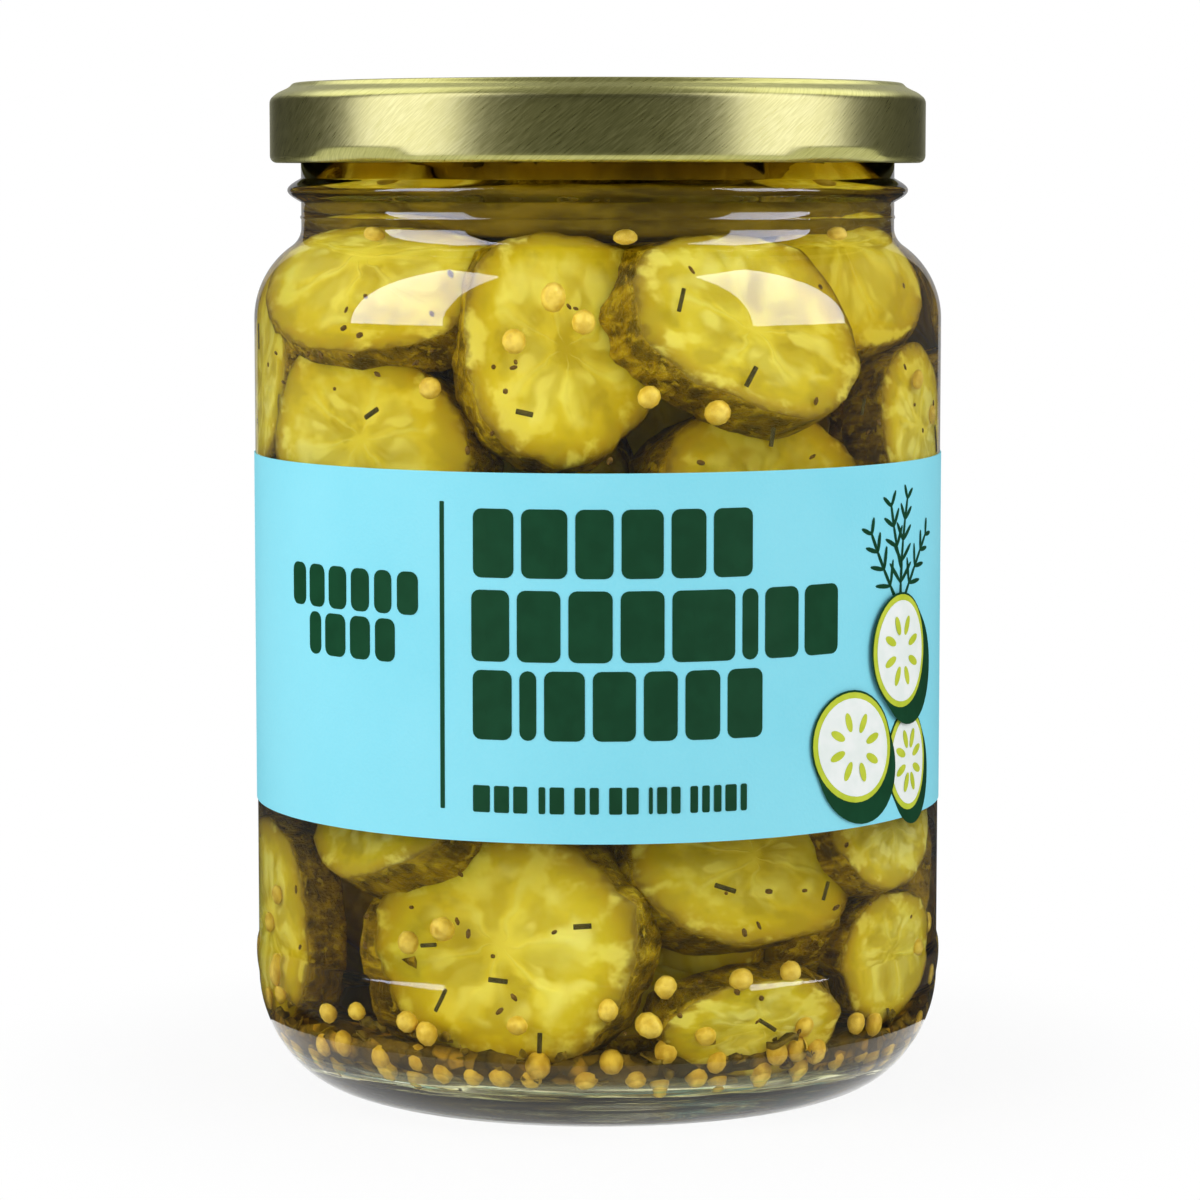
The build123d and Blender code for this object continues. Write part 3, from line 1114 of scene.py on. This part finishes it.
glass_finish, skin, tint = clear("clear_glass", (252, 254, 253), (249, 253, 251), 1.52)
place = object_place()
height = parts(node("ShaderNodeSeparateXYZ", {0: place}))["Z"]
waves = noise_at(place * (30, 30, 55), 1.0)
flat = place * around_axis
tubed = on_tube(flat, 3.2, (height - vector("LENGTH", flat)) * 620.0)
at_foot = fade(height, 0.0072, 0.0052)
knurl = noise_at(tubed * (0.5, 0.5, 1.2), 2.0)
relief = waves * 0.4 + knurl * (at_foot * 1.8)

# Where brine wets the inside, the glass mirrors much less.
behind = node("ShaderNodeNewGeometry", out="Backfacing")
wetted = within(height, (0.0052, 0.0066), (0.1135, 0.1125))
mirror = blend(at_foot, (0.5, 0.5, 0.48, 1), (0.95, 0.95, 0.9, 1))
mirror = blend(behind * (wetted * 0.7), mirror, (0, 0, 0, 1))

# Painted streaks of light and dark in the foot's tint, standing in for refracted contents and
# reflections.
streaks = ramp(
    noise_at(tubed * (0.4, 0.4, 3.2), 3.0),
    (0.37, 70, 56, 18), (0.42, 206, 214, 146), (0.48, 252, 253, 226), (0.53, 226, 208, 100),
    (0.57, 116, 188, 182), (0.61, 250, 252, 226), (0.66, 96, 78, 28),
)
# Painted shade in the tint: brownish round the mouth, under the lid, and a warm dimming of the
# heel's bright line.
at_mouth = fade(height, 0.1085, 0.1115)
at_heel = within(height, (0.0052, 0.0072), (0.014, 0.0085))
tint = blend(at_foot, tint, streaks)
tint = blend(at_mouth, tint, (196, 178, 128))
tint = blend(at_heel * 0.7, tint, (232, 220, 176))
feed(skin, {"Base Color": tint, "Specular Tint": mirror, "Normal": bump(relief, 0.5, 0.0004)})
wear(glass, glass_finish)

brine_finish, skin, tint = clear("pickle_brine", (254, 252, 232), (252, 249, 224), 1.34)
feed(skin, {"Specular Tint": (0.1, 0.1, 0.1, 1)})
soak = {"Color": (0.93, 0.85, 0.08, 1), "Density": 100.0}
end_in("Volume", node("ShaderNodeVolumeAbsorption", soak))
wear(brine, brine_finish)

# %% [markdown]
# ### Flesh and rind
# A cut cucumber is translucent: light goes in, wanders and comes out elsewhere, which subsurface
# scattering imitates. Its pattern belongs to the slice and not to the jar, so it is drawn on the
# slice's own UV map, where the middle of the slice is (0, 0) and its edge is 1 from there. The
# stored value `own` differs from slice to slice and shifts the pattern, so no two are alike.
# Directions from the middle, taken as points on a tube, give radial veins with no seam.

# %% Flesh


def stored(name):
    """A value stored on the mesh."""
    return node("ShaderNodeAttribute", out="Fac", attribute_name=name)


flesh_finish, skin = finish("pickle_flesh")
own = stored("own")
flat = node("ShaderNodeUVMap", uv_map="across") * around_axis
placed = flat + node("ShaderNodeCombineXYZ", {"X": own, "Y": own, "Z": own * 37.0})
bend = noise_at(placed, 2.0, 2.5, "Color") - (0.5, 0.5, 0.5)
bent = (flat + vector("SCALE", bend, 0.35)) * around_axis
share, true_share = vector("LENGTH", bent), vector("LENGTH", flat)
tubed = on_tube(bent, 1.9, share * 1.6 + own * 50.0)

# Three pods of seeds lie in a ring, with pale walls between them.
spokes = parts(node("ShaderNodeSeparateXYZ", {0: bent}))
spokes = calc("ARCTAN2", spokes["Y"], spokes["X"]) * 3.0 + own * 20.0
spokes = calc("ABSOLUTE", calc("SINE", spokes))
ring = within(share, (0.1, 0.26), (0.66, 0.5))
pods = fade(spokes, 0.3, 0.85) * ring
walls = fade(spokes, 0.3, 0.04) * within(share, (0.03, 0.12), (0.72, 0.5))
pips = {"Vector": tubed * (1.3, 1.3, 2.2), "Scale": 1.0}
pips = node("ShaderNodeTexVoronoi", pips, "Distance", feature="SMOOTH_F1")
pips = fade(pips, 0.46, 0.24) * within(share, (0.2, 0.36), (0.76, 0.6))
veins = fade(noise_at(tubed, 2.0), 0.42, 0.62) * ring
clouds = noise_at(placed, 4.0, 3.2)
torn = true_share + (noise_at(placed, 3.0, 9.0) - 0.5) * 0.16
base = ramp(
    true_share,
    (0.0, 228, 213, 86), (0.5, 224, 207, 68), (0.76, 208, 187, 26), (0.9, 180, 153, 2),
    (1.0, 128, 104, 0),
)
for amount, shade in (
    (fade(clouds, 0.5, 0.64, 0.0, 0.6), (242, 231, 118)),
    (fade(clouds, 0.49, 0.36, 0.0, 0.65), (178, 158, 14)),
    (pods * 0.5, (180, 160, 34)),
    (veins * 0.4, (226, 216, 118)),
    (walls * 0.45, (234, 226, 134)),
    (pips * 0.7, (242, 234, 146)),
    (fade(torn, 0.95, 1.0, 0.0, 0.8), (120, 94, 4)),
):
    base = blend(amount, base, shade)
pulp = walls + pips + clouds * 0.9
feed(skin, {
    "Base Color": base, "Roughness": 0.35, "IOR": 1.38, "Normal": bump(pulp, 0.2, 0.0005),
    "Subsurface Weight": 0.45, "Subsurface Radius": (1.0, 0.8, 0.25), "Subsurface Scale": 0.004,
})

# %% [markdown]
# The rind uses the same UV map, which runs round its edge, and a second stored value, `rise`,
# which goes from -0.5 at one cut to 0.5 at the other. It also tells which faces of a slice are
# rind: those on which `rise` changes.

# %% Rind
rind_finish, skin = finish("pickle_rind")
rise = stored("rise")
across = node("ShaderNodeUVMap", uv_map="across")
long_way = across + node("ShaderNodeCombineXYZ", {"Z": stored("own") * 61.0 + rise * 0.3})
ridges = noise_at(long_way, 4.0, 5.5, Roughness=0.62)
warts = mottle(520.0, 5.0, 0.5, 0.6)
base = ramp(
    ridges,
    (0.36, 74, 56, 1), (0.44, 112, 88, 2), (0.51, 138, 110, 4), (0.58, 164, 136, 14),
    (0.67, 196, 170, 44),
)
base = blend(warts * 0.35, base, (74, 56, 2))
base = blend(mottle(640.0, 31.0, 0.57, 0.66), base, (178, 152, 36))
base = blend(fade(calc("ABSOLUTE", rise), 0.4, 0.5, 0.0, 0.45), base, (166, 136, 8))
relief = bump(ridges + warts * -0.2, 0.8, 0.0017)
feed(skin, {"Base Color": base, "Roughness": 0.42, "IOR": 1.38, "Normal": relief})
for piece in (slices, packed_slices):
    wear(piece, flesh_finish, rind_finish)
    rise = piece.data.attributes["rise"].data
    for face in piece.data.polygons:
        levels = [rise[i].value for i in face.vertices]
        face.material_index = 1 if max(levels) - min(levels) > 0.05 else 0

# %% The mass in the middle, seeds, stalks, specks and leaf
# Dark olive-brown: painted shade of the deep slices that this mass stands in for.
core_finish, skin = finish("pickle_mass_painted_shade")
lumps = mottle(90.0, 2.0, 0.35, 0.7)
base = blend(lumps, (84, 66, 2), (142, 118, 12))
base = blend(mottle(260.0, 4.0, 0.45, 0.7) * 0.4, base, (160, 138, 26))
feed(skin, {"Base Color": base, "Roughness": 0.5, "Normal": bump(lumps, 0.6, 0.002)})
wear(core, core_finish)

for piece, name, dark, pale, rough, scale in (
    (seeds, "mustard_husk", (212, 172, 50), (240, 208, 90), 0.4, 900.0),
    (stalks, "dill_stalk", (50, 44, 4), (76, 66, 10), 0.8, 1500.0),
    (specks, "spice_speck", (78, 54, 6), (112, 80, 14), 0.8, 1800.0),
    (leaves, "dill_leaf", (62, 50, 5), (152, 128, 34), 0.55, 500.0),
):
    material, skin = finish(name)
    patch = mottle(scale, 1.0, 0.3, 0.7)
    base = blend(patch, dark, pale)
    feed(skin, {"Base Color": base, "Roughness": rough, "Normal": bump(patch, 0.3, 0.0002)})
    wear(piece, material)

drift_finish, skin = finish("spice_drift")
chips = parts(node("ShaderNodeTexVoronoi", {"Vector": object_place(), "Scale": 520.0}))
base = ramp(
    node("ShaderNodeSeparateColor", {0: chips["Color"]}),
    (0.0, 58, 44, 4), (0.45, 116, 92, 18), (0.75, 156, 126, 34), (0.9, 206, 164, 60),
    (1.0, 222, 180, 70),
)
# Darker towards the borders of the crumbs: painted shade in the crevices between them.
base = blend(fade(chips["Distance"], 0.35, 0.7, 0.0, 0.8), base, (42, 32, 3))
base = blend(mottle(180.0, 4.0, 0.45, 0.65), base, (104, 82, 14))
relief = bump(chips["Distance"], 0.7, 0.0012)
feed(skin, {"Base Color": base, "Roughness": 0.6, "Normal": relief})
wear(drift, drift_finish)

# %% [markdown]
# ### Lacquered steel
# The lid's gold is a yellow lacquer over bright steel that was brushed before it was pressed. Real
# brushing is a mass of fine parallel scratches. On the skirt they run aslant, so the pattern is
# laid out on the distance round the lid and the height, turned, and stretched along one way.

# %% Lid finish
steel_finish, skin = finish("gold_lacquered_steel")
place = object_place()
xyz = parts(node("ShaderNodeSeparateXYZ", {0: place}))
round_it = calc("ARCTAN2", xyz["Y"], xyz["X"]) * (skirt_r * mm)
wrapped = node("ShaderNodeCombineXYZ", {"X": round_it, "Y": xyz["Z"]})
away = vector("LENGTH", place * around_axis)
on_top = fade(away, (skirt_r - 1.2) * mm, (skirt_r - 1.6) * mm)
laid_out = node("ShaderNodeMix", {0: on_top, 4: wrapped, 5: place}, 1, data_type="VECTOR")
slant = {"Vector": laid_out, "Angle": radians(-38)}
slanted = node("ShaderNodeVectorRotate", slant, rotation_type="Z_AXIS")
brushed = noise_at(slanted * (420, 5200, 420), 3.0)
broad = noise_at(slanted * (60, 240, 60), 2.0)
base = blend(fade(brushed, 0.3, 0.7), (184, 182, 106), (210, 208, 132))
base = blend(fade(broad, 0.35, 0.7, 0.0, 0.25), base, (194, 190, 106))
rough = fade(brushed, 0.25, 0.75, 0.27, 0.34)
relief = bump(brushed, 0.14, 0.000012)
feed(skin, {"Base Color": base, "Metallic": 1.0, "Roughness": rough, "Normal": relief})
wear(lid, steel_finish)

# %% [markdown]
# ### Paper and ink
# Label paper is smooth and matt, with a very slight unevenness of ink, and the dark ink on it is a
# little glossier than the paper.

# %% Paper and ink finishes
paper_finish, skin = finish("label_paper")
fibre = mottle(2600.0, 8.0, 0.3, 0.7)
base = blend(mottle(45.0, 6.0, 0.3, 0.7), (132, 224, 243), (140, 228, 246))
base = blend(fibre * 0.1, base, (166, 232, 246))
feed(skin, {"Base Color": base, "Roughness": 0.55, "Normal": bump(fibre, 0.12, 0.0001)})
for piece in (label, lap):
    wear(piece, paper_finish)

inks = {}
for name, dark, pale in (
    ("green", (8, 70, 39), (11, 76, 44)),
    ("lime", (188, 204, 38), (204, 216, 60)),
    ("white", (236, 244, 240), (246, 250, 248)),
):
    inks[name], skin = finish(f"ink_{name}")
    base = blend(mottle(400.0, 7.0, 0.3, 0.7), dark, pale)
    feed(skin, {"Base Color": base, "Roughness": 0.48})
for piece, ink in printed:
    wear(piece, inks[ink])

# %% [markdown]
# ## Which piece belongs to what
# Every piece rides on the one rigid body of the jar, and four stand in for the plain solids.

# %% Ride, and hide the plain solids
contents = [slices, packed_slices, core, seeds, stalks, specks, leaves, drift]
on_label = [lap, *(piece for piece, ink in printed)]
for piece in [glass, brine, lid, label, *contents, *on_label]:
    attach(piece, "root")
for piece, stands_for, slot in (
    (glass, "glass_jar", "clear_glass"),
    (brine, "brine", "brine"),
    (lid, "lid", "gold_lacquered_steel"),
    (label, "label", "label_paper"),
):
    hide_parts(stands_for)

# %% [markdown]
# ## The studio
# The room is white, and the floor runs into it. The light on the jar comes from two soft boxes at
# the sides, with a little more on the contents from the front and up through the foot. Highlights
# have lamps of their own, `shine` for the glass and `gleam` for the lid, seen only in reflections
# and linked to those pieces, so that each level can be set by itself. Dark cards all round, below
# and above are seen only in reflections too, and keep the white room out of the glass, as black
# flags do in a real studio.

# %% Floor and world
floor = fresh("floor", bpy.ops.mesh.primitive_circle_add, vertices=96, radius=3.0, fill_type="NGON")
floor_finish, skin = finish("floor_white")
feed(skin, {"Base Color": (0.9, 0.9, 0.9, 1), "Roughness": 0.9, "Specular IOR Level": 0.0})


def white_to(path, camera_share):
    """How white the room is to a ray: fully so in glass and in mirrors."""
    seen = calc("MAXIMUM", path["Is Glossy Ray"], path["Is Transmission Ray"])
    seen = calc("MAXIMUM", camera_share, seen)
    return seen * calc("LESS_THAN", path["Diffuse Depth"], 0.5)


def glow(strength):
    """A white emission."""
    return node("ShaderNodeEmission", {"Color": (1, 1, 1, 1), "Strength": strength})


path = parts(node("ShaderNodeLightPath"))
away = vector("LENGTH", object_place())
near = path["Is Camera Ray"] * fade(away, 0.043, 0.09, 0.9, 1.0)
mixed = {0: white_to(path, near), 1: Value(skin.outputs[0]), 2: glow(1.0)}
end_in("Surface", node("ShaderNodeMixShader", mixed))
wear(floor, floor_finish)

world = bpy.data.worlds.new("white_room")
bpy.context.scene.world = world
world.use_nodes = True
open_tree(world.node_tree)
path = parts(node("ShaderNodeLightPath"))
fill = calc("SUBTRACT", 0.45, path["Is Transmission Ray"] * 0.34)
level = calc("MAXIMUM", white_to(path, path["Is Camera Ray"]), fill)
feed(tree.nodes["Background"], {"Strength": level, "Color": (1, 1, 1, 1)})

# %% Lamps
DIFFUSE, GLOSSY = ("diffuse",), ("glossy",)


def area_lamp(name, middle, aim, wide, tall, strength, sees, tone=(1, 1, 1)):
    """An area lamp that looks at a point. Strength is its radiance."""
    bpy.ops.object.light_add(type="AREA", location=middle)
    lamp = bpy.context.object
    lamp.name = name
    lamp.data.shape = "RECTANGLE"
    lamp.data.size, lamp.data.size_y = wide, tall
    lamp.data.energy = strength * pi * wide * tall
    lamp.data.color = tone
    lamp.rotation_euler = (Vector(aim) - Vector(middle)).to_track_quat("-Z", "Y").to_euler()
    for kind in ("camera", "diffuse", "glossy", "transmission"):
        setattr(lamp, f"visible_{kind}", kind in sees)
    return lamp


def softbox(name, angle, low, high, distance, wide, *strength_and_so_on):
    """An upright lamp at an angle from the front, facing the jar."""
    a, z = radians(angle), (low + high) / 2
    middle = (sin(a) * distance, -cos(a) * distance, z)
    return area_lamp(name, middle, (0, 0, z), wide, high - low, *strength_and_so_on)


def only_on(lamp, *pieces):
    """Lets a lamp light just these pieces."""
    group = bpy.data.collections.new(f"{lamp.name}_lights")
    for piece in pieces:
        group.objects.link(piece)
    lamp.light_linking.receiver_collection = group


softbox("softbox_left", -60, 0.03, 0.8, 0.55, 0.45, 2.62, DIFFUSE)
softbox("softbox_right", 60, 0.03, 0.8, 0.55, 0.45, 1.97, DIFFUSE)
only_on(softbox("kicker", 0, 0.002, 0.05, 0.2, 0.34, 1.5, DIFFUSE), *contents)
bounce = area_lamp("floor_bounce", (0, 0, 0.001), (0, 0, 1), 0.056, 0.056, 0.7, DIFFUSE)
only_on(bounce, drift, seeds, leaves)
white_blue, rosy_blue = (0.93, 0.98, 1.25), (1.0, 0.965, 1.45)
for hand, name in ((-1, "left"), (1, "right")):
    at = hand * 68
    shine = softbox(f"shine_{name}", at, 0.108, 1.05, 0.55, 0.36, 12.0, GLOSSY, white_blue)
    only_on(shine, glass)
    only_on(softbox(f"gleam_{name}", at, 0.03, 1.05, 0.56, 0.45, 1.9, GLOSSY, rosy_blue), lid)
    above = (hand * 0.45, 0.42, 0.75)
    only_on(area_lamp(f"gleam_high_{name}", above, (0, 0, 0.12), 0.55, 0.55, 1.7, GLOSSY), lid)
only_on(area_lamp("gleam_low", (0, -0.15, 0.003), (0, -0.15, 1), 0.9, 0.6, 0.8, GLOSSY), lid)


# %% Dark cards
def hide_card(card, grey):
    """Shows a card in reflections only, and gives it a grey of its own."""
    for kind in ("camera", "diffuse", "transmission", "shadow"):
        setattr(card, f"visible_{kind}", False)
    card_finish, _ = finish(f"{card.name}_grey")
    end_in("Surface", glow(grey))
    wear(card, card_finish)


def flag(name, start, end, grey):
    """An upright curved card between two angles from the front."""
    foot, top, distance = 0.002, 1.3, 0.9
    a = radians(start)
    card = vertex(name, (sin(a) * distance, -cos(a) * distance, foot))
    bpy.ops.mesh.extrude_region_move(TRANSFORM_OT_translate={"value": (0, 0, top - foot)})
    every_part()
    bpy.ops.mesh.spin(steps=16, angle=radians(start - end), center=(0, 0, 0), axis=(0, 0, 1))
    leave()
    hide_card(card, grey)


flag("flag_upright", -158, 158, 0.055)
flag("flag_back", 158, 202, 0.38)
disc = {"vertices": 48, "radius": 0.88, "location": (0, 0, 0.001)}
card = fresh("flag_low", bpy.ops.mesh.primitive_circle_add, **disc)
edit(card)
bpy.ops.mesh.extrude_region_move()
bpy.ops.transform.resize(value=(0.056, 0.056, 1))
leave()
hide_card(card, 0.04)
disc = {"vertices": 48, "radius": 0.9, "location": (0, 0, 1.3), "fill_type": "NGON"}
hide_card(fresh("flag_top", bpy.ops.mesh.primitive_circle_add, **disc), 0.22)

# %% Camera
eye, tip_down = (0.00028, -0.52475, 0.1111), 5.7
bpy.ops.object.camera_add(location=eye, rotation=(radians(90 - tip_down), 0, 0))
camera = bpy.context.object
camera.name = "camera"
camera.data.sensor_width = 36.0
camera.data.lens = 128.14
bpy.context.scene.camera = camera
bpy.context.scene.view_settings.view_transform = "Standard"
